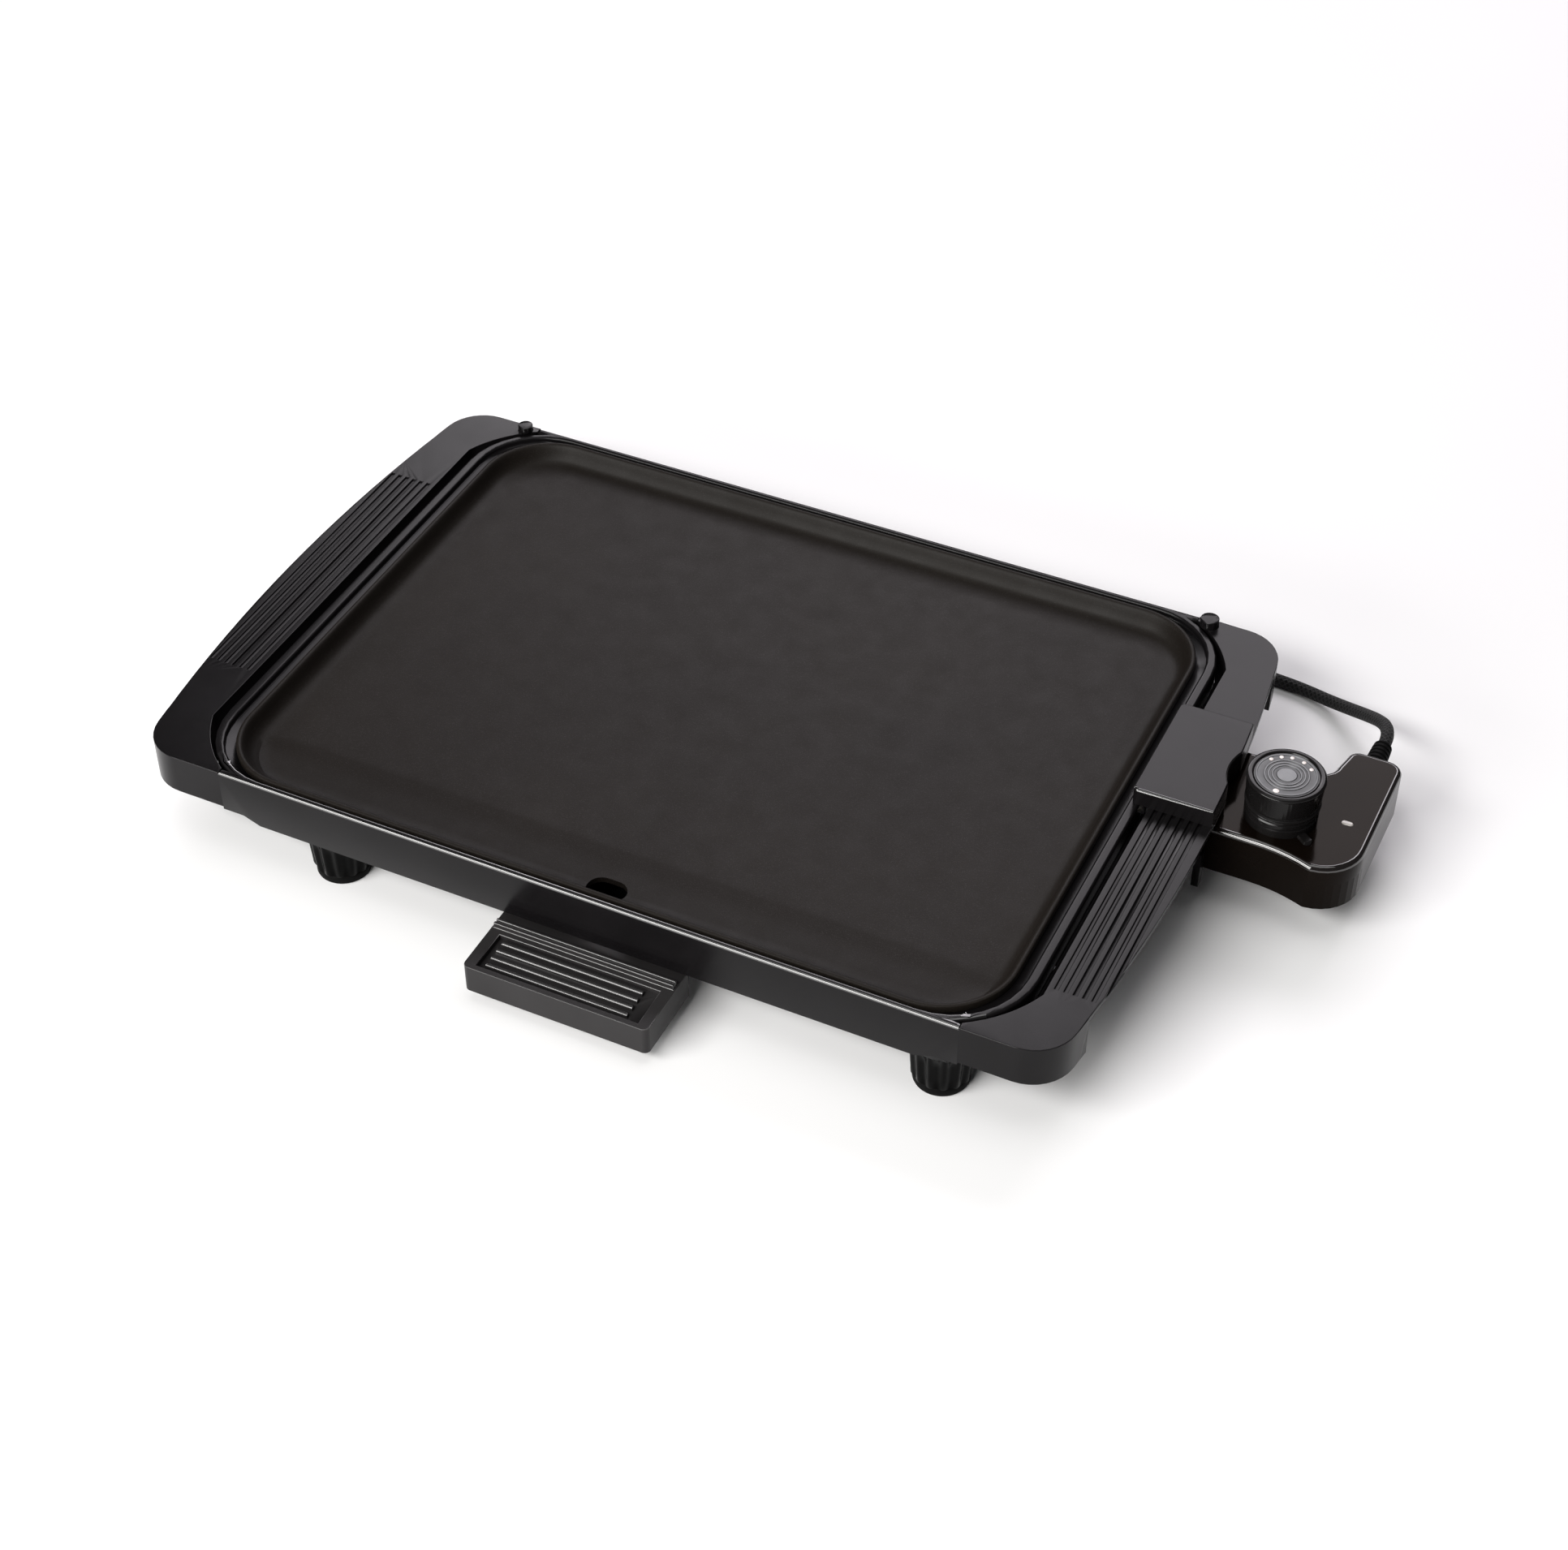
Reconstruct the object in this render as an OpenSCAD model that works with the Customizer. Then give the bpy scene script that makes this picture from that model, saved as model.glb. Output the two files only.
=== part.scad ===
/* [Cooking plate] */
// Length of the cooking plate over its rim
plate_l = 406; // [380:1:410]
// Depth of the cooking plate over its rim, front to back
plate_w = 306; // [280:1:307]
// Depth of the well below the rim
well_d = 10; // [8:0.5:12]
// Across position of the drain slot and of the drip tray under it
drain_x = 9; // [0:1:20]

/* [Base] */
// Height of the frame's top above the table
top_z = 54; // [52:1:60]
// Front to back size of the base
base_w = 316; // [314:1:320]
// Length of the base over the middle of both handles
base_l = 500; // [498:1:504]
// Height of the front wall in the middle section
wall_h = 27; // [25:0.5:27]
// Distance from the middle to the left pair of legs
leg_left = 138; // [130:1:150]
// Distance from the middle to the right pair of legs
leg_right = 179; // [150:1:180]

/* [Handles] */
// Height of the handle shells
handle_h = 22; // [20:1:24]
// Distance between two neighbouring grip grooves
groove_pitch = 4.4; // [4:0.1:5]
// Number of grip grooves on each handle
groove_n = 6; // [4:1:6]

/* [Control] */
// Diameter of the temperature knob
knob_d = 38; // [36:1:40]
// Height of the turning part of the knob
knob_h = 16.5; // [14:0.5:18]
// Thickness of the plug-in control
probe_h = 26; // [24:1:26]
// Length of the sensor rod from the control's nose
rod_l = 68; // [60:1:70]

/* [Drip tray] */
// Width of the tray's handle
tray_w = 96; // [90:1:98]
// Depth of the tray's basin, front to back
basin_l = 114; // [100:1:116]

/* [Cord] */
// Diameter of the mains cord
cord_d = 6.6; // [6:0.1:7]

/* [Hidden] */
$fn = 64;

moulded_black = [0.06, 0.06, 0.06];
gloss_black = [0.04, 0.035, 0.035];
plate_grey = [0.16, 0.155, 0.15];
steel = [0.62, 0.62, 0.63];
brass = [0.78, 0.6, 0.3];
ceramic = [0.85, 0.83, 0.78];
rubber = [0.05, 0.05, 0.05];

eps = 0.5;          // how far a cutting tool runs past the face it cuts
mid_x = 34.08;      // middle of the footprint, measured from the middle of the plate
mid_y = -17.85;
arc_n = 8;          // straight steps in a rounded outline corner

// Heights, all measured from the table
wall_z = top_z - wall_h;
end_z = wall_z + 3.5;             // underside of the wall near the handles
shelf_z = top_z - 4;              // shelf that carries the plate's rim
floor_z = top_z - well_d;         // cooking surface
plate_t = 4;
floor_under = floor_z - plate_t;
beam_top = wall_z + 3.4;
reflector_t = 0.7;
axis_z = floor_under - 4;         // element, terminals and sensor rod
handle_z = top_z - handle_h;
cover_top = top_z + 9.3;

// Frame ring around the plate
fence_x = 213.5;
fence_y = base_w / 2;
fence_r = 42;
fence_tx = 5.5;
fence_ty = 3.7;
seam_x = 192.3;
skirt_x = 172;

// Handle outline
bow_r = 957;
bow_cx = base_l / 2 - bow_r;
handle_corner_r = 22;
handle_corner_y = base_w / 2 - handle_corner_r;
handle_corner_x = bow_cx + sqrt(pow(bow_r - handle_corner_r, 2) - pow(handle_corner_y, 2));
bow_a = atan(handle_corner_y / (handle_corner_x - bow_cx));
inner_x = 218;
inner_r = 67;
inner_cx = 156;
inner_cy = 98;
shell_t = 2.6;
top_t = 2.8;
grip_top_t = 3.1;
grip_y = 128;
grip_lean = 7;
groove_t = 1.7;
groove_depth = 1;

// Legs
leg_y = base_w / 2 - 17;
leg_r = 16;
pad_h = 5.5;
pad_r = 13.5;
post_y = 70;
post_r = 6;

// Control
probe_y = 46;                     // middle of the sensor rod, terminals and bay
knob_x = 274;
knob_y = 41.5;
probe_top = top_z - 7;
probe_z = probe_top - probe_h;
case_t = 2.2;
nose_x = 226;
pin_gap = 12;
pin_r = 3;
rod_r = 3.1;
lobe_x = 302;
lobe_y = 101;
collar_h = 8;
knob_z = probe_top + collar_h + 0.5;
lamp_x = 304.6;
lamp_y = 48.7;
case_screw_at = [[237, 23], [237, 72.6], [303, 27], [311.5, 88]];

// Bay in the right handle that takes the control's nose
bay_y0 = 16;
bay_y1 = 80;
notch_x = 271.5;
notch_r = 26;

// Heating element loop
heat_x0 = -150;
heat_x1 = 160;
heat_y0 = -96;
heat_y1 = 100;
element_r = 3.4;

// Drip tray
tray_front = -193.7;
tray_rear_y = -162;               // back of the lip that rests against the front wall
basin_y = -150.5;                 // back of the handle and front of the basin
tray_z = 8;
tray_top = wall_z - 0.7;
basin_t = 1.6;
basin_hw = tray_w / 2 - 6.5;
flange_z = tray_z + 13.8;
rail_x = tray_w / 2;
rail_screw_x = rail_x - 3.1;
rail_screw_y = [-100, -60];
rail_y0 = -149;
rail_y1 = -42;

// Cord route: chosen points from the strain relief to the coil, then the coil
cord_r = cord_d / 2;
relief_l = 20;
coil_x = 30;
coil_y = 163;
coil_r = [33.7, 40.3];
coil_h = 2 * cord_d;
cord_lead = [
  [302, 121, 36], [302, 124, 36], [301.3, 131.5, 35.4], [299.6, 137.5, 33.8], [296.6, 144, 31],
  [292.4, 150.5, 27], [287.3, 157, 22.3], [281.5, 163.5, 17.4], [275, 169.7, 12.7], [267.5, 175.4, 8.6],
  [259, 180.3, 5.5], [249.5, 184, 3.9], [239, 186.2, 3.4], [225, 187.5, 3.4], [205, 190, 3.4], [180, 193.5, 3.4],
  [150, 197.5, 3.4], [120, 200.5, 3.4], [90, 202.3, 3.4], [60, 203.2, 3.4], [30, 203.3, 3.4]
];
cord_tail = [[-10.3, 163, 9.9], [-10.3, 150, 9.9], [-10.3, 139, 10.8], [-10.3, 131, 11.8],
  [-10.3, 124, 12], [-10.3, 119, 12]];
plug_x = -10.3;
plug_y = 113;
plug_z = 12;

// ---------------------------------------------------------------- helpers

function arc(cx, cy, r, a0, a1, n = arc_n) =
  [for (i = [0:n]) let (a = a0 + (a1 - a0) * i / n) [cx + r * cos(a), cy + r * sin(a)]];

function rounded(l, w, r, cx = 0, cy = 0) = concat(
  arc(cx + l / 2 - r, cy + w / 2 - r, r, 0, 90),
  arc(cx - l / 2 + r, cy + w / 2 - r, r, 90, 180),
  arc(cx - l / 2 + r, cy - w / 2 + r, r, 180, 270),
  arc(cx + l / 2 - r, cy - w / 2 + r, r, 270, 360));

module slab(pts, z0, z1) translate([0, 0, z0]) linear_extrude(z1 - z0) polygon(pts);

module box(x0, x1, y0, y1, z0, z1) translate([x0, y0, z0]) cube([x1 - x0, y1 - y0, z1 - z0]);

module rod_x(x0, x1, y, z, r) translate([x0, y, z]) rotate([0, 90, 0]) cylinder(h = x1 - x0, r = r);

module rod_y(y0, y1, x, z, r) translate([x, y0, z]) rotate([-90, 0, 0]) cylinder(h = y1 - y0, r = r);

module rod_z(z0, z1, x, y, r) translate([x, y, z0]) cylinder(h = z1 - z0, r = r);

module screw(x, y, z0, head_r, head_h, r, l) {
  rod_z(z0, z0 + head_h, x, y, head_r);
  rod_z(z0 + head_h, z0 + head_h + l, x, y, r);
}

function unit(v) = v / norm(v);

// Direction of a path at point i, from its neighbours
function heading(p, i) = unit(p[min(i + 1, len(p) - 1)] - p[max(i - 1, 0)]);

// A round tube swept along a list of centre points
module tube(p, r, sides = 10) {
  rings = [for (i = [0:len(p) - 1])
    let (t = heading(p, i), side = unit(cross(t, [0, 0, 1])), up = cross(side, t))
    for (k = [0:sides - 1]) p[i] + r * cos(360 * k / sides) * side + r * sin(360 * k / sides) * up];
  last = len(p) - 1;
  polyhedron(rings, concat(
    [[for (k = [0:sides - 1]) k]],
    [for (i = [0:last - 1], k = [0:sides - 1])
      let (a = i * sides + k, b = i * sides + (k + 1) % sides) [a, a + sides, b + sides, b]],
    [[for (k = [sides - 1:-1:0]) last * sides + k]]));
}

// ---------------------------------------------------------------- base

module wall_bar(side) {
  // straight front or rear wall between the handle seams, deeper in the middle
  y = side < 0 ? -fence_y : fence_y - fence_ty;
  translate([0, y + fence_ty, 0]) rotate([90, 0, 0]) linear_extrude(fence_ty)
    polygon([[-seam_x, top_z], [-seam_x, end_z], [-skirt_x - 9, end_z], [-skirt_x, wall_z],
             [skirt_x, wall_z], [skirt_x + 9, end_z], [seam_x, end_z], [seam_x, top_z]]);
}

module base_frame() color(moulded_black) difference() {
  union() {
    difference() {
      union() {
        slab(rounded(2 * fence_x, base_w, fence_r), end_z, top_z);
        for (s = [-1, 1]) wall_bar(s);
      }
      slab(rounded(2 * (fence_x - fence_tx), base_w - 2 * fence_ty, fence_r - 5), shelf_z, top_z + eps);
      slab(rounded(399.2, 299.2, 33.6), shelf_z - 5, shelf_z + eps);
      slab(rounded(2 * fence_x - 6, base_w - 2 * fence_ty, fence_r - 3), wall_z - eps, shelf_z - 4);
    }
    // beams that tie the legs together, and the cross rib and side ribs of the tray's bay
    for (x = [-leg_left, leg_right]) box(x - 8, x + 8, -fence_y + 2, fence_y - 2, wall_z, beam_top);
    box(-leg_left, leg_right, rail_y1, rail_y1 + 8, wall_z, beam_top);
    for (s = [-1, 1])
      box(drain_x + s * (rail_x - 2) - 4, drain_x + s * (rail_x - 2) + 4, -fence_y + 2, rail_y1 + 4,
          wall_z, beam_top);
    for (x = [-leg_left, leg_right], s = [-1, 1]) rod_z(wall_z, wall_z + 11, x, s * leg_y, leg_r);
    // posts for the plate's screws
    for (x = [-leg_left, leg_right], s = [-1, 1]) rod_z(wall_z, floor_under, x, s * post_y, post_r);
  }
  for (x = [-leg_left, leg_right], s = [-1, 1]) {
    rod_z(wall_z - eps, wall_z + 12, x, s * leg_y, 2.1);
    rod_z(wall_z - eps, floor_under + eps, x, s * post_y, 2.2);
  }
  for (s = [-1, 1], y = rail_screw_y) rod_z(wall_z - eps, beam_top + eps, drain_x + s * rail_screw_x, y, 1.6);
  // window for the terminals and the sensor rod
  box(fence_x - 8, fence_x + eps, probe_y - 20, probe_y + 20, end_z - eps, shelf_z - 4);
  // pockets under the handle screws
  for (sx = [-1, 1], sy = [-1, 1]) rod_x(sx * 212 - 4, sx * 212 + 4, sy * 96, shelf_z - 8, 1.8);
}

// Plan of the right handle, or of the pocket a wall's thickness i inside it
function handle_outline(i) = let (
    edge_y = base_w / 2 - i,
    a0 = i > 0 ? asin((edge_y - inner_cy) / (inner_r + i)) : acos((seam_x - inner_cx) / inner_r),
    a1 = acos((inner_x + i - inner_cx) / (inner_r + i))
  ) concat(
    i > 0 ? [] : [[seam_x, -edge_y]],
    arc(handle_corner_x, -handle_corner_y, handle_corner_r - i, -90, -bow_a),
    arc(bow_cx, 0, bow_r - i, -bow_a * 0.97, bow_a * 0.97, 16),
    arc(handle_corner_x, handle_corner_y, handle_corner_r - i, bow_a, 90),
    i > 0 ? [] : [[seam_x, edge_y]],
    arc(inner_cx, inner_cy, inner_r + i, a0, a1),
    arc(inner_cx, -inner_cy, inner_r + i, -a1, -a0));

// Hollow handle shell for the right end. The bowed grip edge is turned about the
// bow's centre, with its outer wall leaning in towards the foot.
module handle_shell() {
  ro = bow_r - 0.15;
  half = asin((grip_y + 2) / bow_r);
  difference() {
    slab(handle_outline(0), handle_z, top_z);
    slab(handle_outline(shell_t), handle_z - eps, top_z - top_t);
    box(238, 256, -grip_y, grip_y, handle_z - eps, top_z + eps);
  }
  translate([bow_cx, 0, 0]) rotate([0, 0, -half]) rotate_extrude(angle = 2 * half, $fn = 360)
    polygon([[ro - grip_lean, handle_z], [ro, top_z - top_t], [ro, top_z], [ro - 15, top_z],
             [ro - 15, top_z - grip_top_t], [ro - shell_t, top_z - grip_top_t],
             [ro - grip_lean - shell_t, handle_z]]);
  channel_flange();
}

// Flange that fills the foot of the channel between the handle and the frame
module channel_flange() difference() {
  a0 = acos((seam_x + 0.7 - inner_cx) / (inner_r + 1));
  a1 = acos((inner_x + 1 - inner_cx) / (inner_r + 1));
  slab(concat(arc(inner_cx, inner_cy, inner_r + 1, a1, a0), arc(inner_cx, -inner_cy, inner_r + 1, -a0, -a1)),
       top_z - 13, top_z - 10);
  slab(rounded(2 * fence_x + 0.5, base_w + 0.5, fence_r + 0.25), top_z - 13 - eps, top_z - 10 + eps);
}

module rear_lug(r, h) rod_z(top_z, top_z + h, 199, base_w / 2 - 5, r);

module grip_grooves(x0, y0, y1) for (k = [0:groove_n - 1])
  box(x0 + k * groove_pitch - groove_t / 2, x0 + k * groove_pitch + groove_t / 2, y0, y1,
      top_z - groove_depth, top_z + eps);

module handle_screw_holes() for (s = [-1, 1])
  rod_x(fence_x - 1, inner_x + shell_t + eps, s * 96, shelf_z - 8, 1.8);

module left_handle() color(moulded_black) mirror([1, 0, 0]) difference() {
  union() {
    handle_shell();
    rear_lug(4, 3.5);
  }
  grip_grooves(222, -87, 87);
  handle_screw_holes();
}

module right_handle() color(moulded_black) {
  difference() {
    handle_shell();
    grip_grooves(222, -118, 12);
    handle_screw_holes();
    box(fence_x - 1, 256, bay_y0, bay_y1, handle_z - eps, probe_top + 1.4);
    rod_z(handle_z, top_z + eps, notch_x, probe_y, notch_r);
  }
  rear_lug(4.8, 4.5);
  // guard tab beside the control
  box(243.5, 247, 9, 14, handle_z - 16.5, handle_z + 4);
}

// Disc whose rim follows the bowed grip edge
module bow_disc(z0, z1, inset) rod_z(z0, z1, bow_cx, 0, bow_r - inset, $fn = 720);

module terminal_cover() color(moulded_black) difference() {
  intersection() {
    slab(rounded(43, 69, 2.5, 231, 45), top_z, cover_top);
    bow_disc(top_z - eps, cover_top + eps, 0.3);
  }
  difference() {
    intersection() {
      slab(rounded(38.6, 64.6, 1.5, 231, 45), top_z - eps, cover_top - case_t);
      bow_disc(top_z - 2 * eps, cover_top, 0.3 + case_t);
    }
    rod_z(top_z - eps, cover_top, notch_x, probe_y, notch_r + case_t);
  }
  rod_z(top_z - eps, cover_top + eps, notch_x, probe_y, notch_r);
}

// ---------------------------------------------------------------- plate and heater

// Element path in plan: from one terminal round the plate and back to the other
element_path = [
  [206, probe_y - pin_gap], [heat_x1, probe_y - pin_gap], [heat_x1, heat_y0], [heat_x0, heat_y0],
  [heat_x0, heat_y1], [heat_x1, heat_y1], [heat_x1, probe_y + pin_gap], [206, probe_y + pin_gap]
];

// Bar of round or square section along a path with square turns
module element_run(bend, round_r) {
  p = element_path;
  n = len(p);
  for (i = [0:n - 2]) {
    d = unit(p[i + 1] - p[i]);
    a = p[i] + (i == 0 ? 0 : bend) * d;
    b = p[i + 1] - (i == n - 2 ? 0 : bend) * d;
    translate([a[0], a[1], axis_z]) rotate([0, 90, atan2(d[1], d[0])]) cylinder(h = norm(b - a), r = round_r);
  }
  for (i = [1:n - 2]) {
    d1 = unit(p[i] - p[i - 1]);
    d2 = unit(p[i + 1] - p[i]);
    c = p[i] - bend * d1 + bend * d2;
    turn = d1[0] * d2[1] - d1[1] * d2[0];
    start = turn > 0 ? atan2(-d2[1], -d2[0]) : atan2(d1[1], d1[0]);
    translate([c[0], c[1], axis_z]) rotate([0, 0, start])
      rotate_extrude(angle = 90) translate([bend, 0]) circle(r = round_r, $fn = 32);
  }
}

module griddle_plate() color(plate_grey) {
  rib = 5.5;
  difference() {
    union() {
      slab(rounded(plate_l, plate_w, 38), top_z - 4, top_z);
      slab(rounded(398, 298, 33), floor_under, top_z - 3);
      // raised tracks under the floor that hold the heating element
      for (y = [heat_y0, heat_y1])
        box(heat_x0 - rib, heat_x1 + rib, y - rib, y + rib, axis_z, floor_under + 1);
      box(heat_x0 - rib, heat_x0 + rib, heat_y0, heat_y1, axis_z, floor_under + 1);
      box(heat_x1 - rib, heat_x1 + rib, heat_y0, probe_y - pin_gap + rib, axis_z, floor_under + 1);
      box(heat_x1 - rib, heat_x1 + rib, probe_y + pin_gap - rib, heat_y1, axis_z, floor_under + 1);
      // boss that takes the sensor rod
      box(150, 196, probe_y - 6, probe_y + 6, beam_top + 0.8, floor_under + 1);
    }
    slab(rounded(plate_l - 6, plate_w - 6, 35), top_z - 2.5, top_z + eps);
    slab(rounded(394, 294, 31), floor_z, top_z);
    // shallow gutter along the front, and the drain slot in it
    slab(rounded(370, 20, 9, 0, -134), floor_z - 1, floor_z + eps);
    slab(rounded(20, 14.5, 7.2, drain_x - 1, -138.75), floor_under - eps, floor_z);
    rod_x(156, 197, probe_y, axis_z, rod_r + 0.2);
    for (x = [-leg_left, leg_right], s = [-1, 1])
      rod_z(floor_under - eps, floor_under + 2.6, x, s * post_y, 2.1);
  }
}

module heating_element() color(steel) element_run(16, element_r);

module terminal_pins() color(brass)
  for (s = [-1, 1]) rod_x(206, 246, probe_y + s * pin_gap, axis_z, pin_r);

module terminal_insulators() color(ceramic) for (s = [-1, 1]) difference() {
  rod_x(208, 222, probe_y + s * pin_gap, axis_z, 5);
  rod_x(207, 223, probe_y + s * pin_gap, axis_z, pin_r + 0.05);
}

module terminal_bracket() color(steel) difference() {
  union() {
    box(fence_x + 0.3, fence_x + 1.5, probe_y - 24, probe_y + 24, end_z, shelf_z - 4);
    box(fence_x + 0.3, fence_x + 6, probe_y - 24, probe_y + 24, shelf_z - 4, shelf_z - 2.8);
  }
  for (s = [-1, 1]) rod_x(fence_x, fence_x + 2, probe_y + s * pin_gap, axis_z, 5.1);
  rod_x(fence_x, fence_x + 2, probe_y, axis_z, rod_r + 0.7);
}

module heat_reflector() color(steel) difference() {
  slab(rounded(370, 250, 12, 6, 12), beam_top, beam_top + reflector_t);
  for (x = [-leg_left, leg_right], s = [-1, 1])
    rod_z(beam_top - eps, beam_top + 1, x, s * post_y, post_r + 0.5);
  for (x = [-leg_left, leg_right]) rod_z(beam_top - eps, beam_top + 1, x, leg_y, leg_r + 1);
}

// ---------------------------------------------------------------- legs and screws

module leg_at(x, y) color(moulded_black) difference() {
  translate([x, y, pad_h]) cylinder(h = wall_z - pad_h, r1 = leg_r - 1.4, r2 = leg_r);
  rod_z(pad_h - eps, wall_z + eps, x, y, 2.2);
  rod_z(pad_h - eps, pad_h + 4, x, y, 4.6);
}

module pad_at(x, y) color(rubber) translate([x, y, 0])
  rotate_extrude() polygon(concat([[0, 0]], arc(pad_r - 2, 2, 2, -90, 0, 5), [[pad_r, pad_h], [0, pad_h]]));

module leg_front_left() leg_at(-leg_left, -leg_y);
module leg_front_right() leg_at(leg_right, -leg_y);
module leg_rear_left() leg_at(-leg_left, leg_y);
module leg_rear_right() leg_at(leg_right, leg_y);
module foot_pad_front_left() pad_at(-leg_left, -leg_y);
module foot_pad_front_right() pad_at(leg_right, -leg_y);
module foot_pad_rear_left() pad_at(-leg_left, leg_y);
module foot_pad_rear_right() pad_at(leg_right, leg_y);

module leg_screws() color(steel) for (x = [-leg_left, leg_right], s = [-1, 1])
  screw(x, s * leg_y, pad_h + 0.6, 4, 3, 2, 22);

module plate_screws() color(steel) for (x = [-leg_left, leg_right], s = [-1, 1])
  screw(x, s * post_y, wall_z - 2.4, 4, 2.4, 2, 15);

module handle_screws() color(steel) for (sx = [-1, 1], sy = [-1, 1]) {
  z = shelf_z - 8;
  mirror([sx < 0 ? 1 : 0, 0, 0]) {
    rod_x(inner_x + shell_t, inner_x + shell_t + 2, sy * 96, z, 3.4);
    rod_x(210.6, inner_x + shell_t, sy * 96, z, 1.6);
  }
}

// ---------------------------------------------------------------- drip tray

// C-shaped rail that carries one flange of the tray, for the right side
module tray_rail() difference() {
  union() {
    box(rail_x - 0.7, rail_x + 0.7, rail_y0, rail_y1, flange_z - 2, wall_z);
    box(rail_x - 5, rail_x, rail_y0, rail_y1, flange_z - 2, flange_z - 0.5);
    box(rail_x - 5.8, rail_x, rail_y0, rail_y1, wall_z - 1.4, wall_z);
  }
  for (y = rail_screw_y) rod_z(wall_z - 2, wall_z + eps, rail_screw_x, y, 1.6);
}

module tray_rail_left() color(steel) translate([drain_x, 0, 0]) mirror([1, 0, 0]) tray_rail();
module tray_rail_right() color(steel) translate([drain_x, 0, 0]) tray_rail();

module rail_screws() color(steel) for (s = [-1, 1], y = rail_screw_y)
  screw(drain_x + s * rail_screw_x, y, wall_z - 2.6, 2.2, 1.2, 1.5, 4.6);

module drip_tray() color(moulded_black) {
  y0 = basin_y;
  y1 = y0 + basin_l;
  difference() {
    union() {
      slab(rounded(2 * basin_hw, basin_l, 5, drain_x, (y0 + y1) / 2), tray_z, tray_top);
      for (s = [-1, 1])
        box(drain_x + s * (basin_hw + 1.5) - 2, drain_x + s * (basin_hw + 1.5) + 2, y0 + 12, y1 - 6,
            flange_z, flange_z + 1.6);
    }
    slab(rounded(2 * (basin_hw - basin_t), basin_l - 2 * basin_t, 3.6, drain_x, (y0 + y1) / 2),
         tray_z + basin_t, tray_top + eps);
  }
}

module tray_handle() color(moulded_black) {
  x0 = drain_x - tray_w / 2;
  x1 = drain_x + tray_w / 2;
  top = 23.5;
  difference() {
    union() {
      slab(rounded(tray_w, basin_y - tray_front, 3, drain_x, (basin_y + tray_front) / 2), tray_z, top);
      // raised lip against the front wall, with a line scored along it
      box(x0 + 1, x1 - 1, tray_rear_y - 4, tray_rear_y, tray_z + 2, tray_top);
    }
    // recessed top with its grip bars left standing
    box(x0 + 6, x1 - 6, tray_front + 3, tray_rear_y - 7, top - 3, top + eps);
    box(x0 + 3, x1 - 3, tray_front + 3, tray_rear_y - 3, tray_z - eps, top - 6);
    box(x0, x1, tray_rear_y - 2.4, tray_rear_y - 1.4, tray_top - 1, tray_top + eps);
  }
  for (k = [0:3])
    box(x0 + 9, x1 - 13, tray_front + 5.4 + 5 * k, tray_front + 7.8 + 5 * k, top - 3.2, top - 0.8);
}

// ---------------------------------------------------------------- plug-in control

function probe_outline(i) = concat(
  [[nose_x + i, 17.4 + i]],
  arc(268, 17.4 - 80.6, 80.6 + i, 90, 69, 5),
  arc(296, 34, 22 - i, -84, 0),
  arc(310, 93, 8 - i, 0, 90, 5),
  arc(296.5, 95, 6 - i, 90, 180, 5),
  arc(280.5, 86, 8 + i, 0, -90, 5),
  [[nose_x + i, 78 - i]]);

module case_bores(r, z0, z1) for (p = case_screw_at) rod_z(z0, z1, p[0], p[1], r);

module nose_bores() {
  for (s = [-1, 1]) rod_x(nose_x - eps, nose_x + case_t + eps, probe_y + s * pin_gap, axis_z, pin_r + 0.4);
  rod_x(nose_x - eps, nose_x + case_t + eps, probe_y, axis_z, rod_r + 0.05);
  rod_y(lobe_y - case_t - eps, lobe_y + eps, lobe_x, axis_z, 5);
}

module probe_upper_case() color(gloss_black) difference() {
  union() {
    difference() {
      slab(probe_outline(0), axis_z, probe_top);
      slab(probe_outline(case_t), axis_z - eps, probe_top - case_t);
    }
    rod_z(probe_top - 6, probe_top - 1, knob_x, knob_y, 6);
    case_bores(3.6, axis_z, probe_top - 1);
  }
  rod_z(probe_top - 7, probe_top + eps, knob_x, knob_y, 3.03);
  case_bores(1.45, axis_z - eps, probe_top - 3);
  nose_bores();
  slab(rounded(6, 3.4, 1.65, lamp_x, lamp_y), probe_top - case_t - eps, probe_top + eps);
}

module probe_lower_case() color(gloss_black) difference() {
  union() {
    difference() {
      slab(probe_outline(0), probe_z, axis_z);
      slab(probe_outline(case_t), probe_z + case_t, axis_z + eps);
    }
    // cradle under the contact sleeves and the sensor rod
    box(232, 247, probe_y - 18, probe_y + 18, probe_z + 1, axis_z);
    case_bores(3.6, probe_z + 1, axis_z);
  }
  case_bores(1.7, probe_z - eps, axis_z + eps);
  case_bores(3.0, probe_z - eps, probe_z + 2);
  nose_bores();
  for (s = [-1, 1]) rod_x(231, 248, probe_y + s * pin_gap, axis_z, 4.25);
  rod_x(231, 248, probe_y, axis_z, rod_r + 0.05);
}

module sensor_rod() color(steel) {
  rod_x(nose_x - rod_l, 252, probe_y, axis_z, rod_r);
  rod_x(248.5, 252, probe_y, axis_z, 4.5);
}

module contact_sleeves() color(brass) for (s = [-1, 1]) difference() {
  rod_x(229, 251, probe_y + s * pin_gap, axis_z, 4.2);
  rod_x(228, 248, probe_y + s * pin_gap, axis_z, pin_r + 0.1);
}

module thermostat_base() color(ceramic) difference() {
  box(253, 286, probe_y - 15, probe_y + 15, probe_z + case_t, axis_z - 3);
  rod_z(probe_z, axis_z, 258, probe_y, 2);
}

module bimetal_blade() color(steel) {
  box(254, 284, probe_y - 3, probe_y + 3, axis_z - 1, axis_z - 0.2);
  box(254, 257, probe_y - 3, probe_y + 3, axis_z - 3, axis_z - 1);
}

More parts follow.
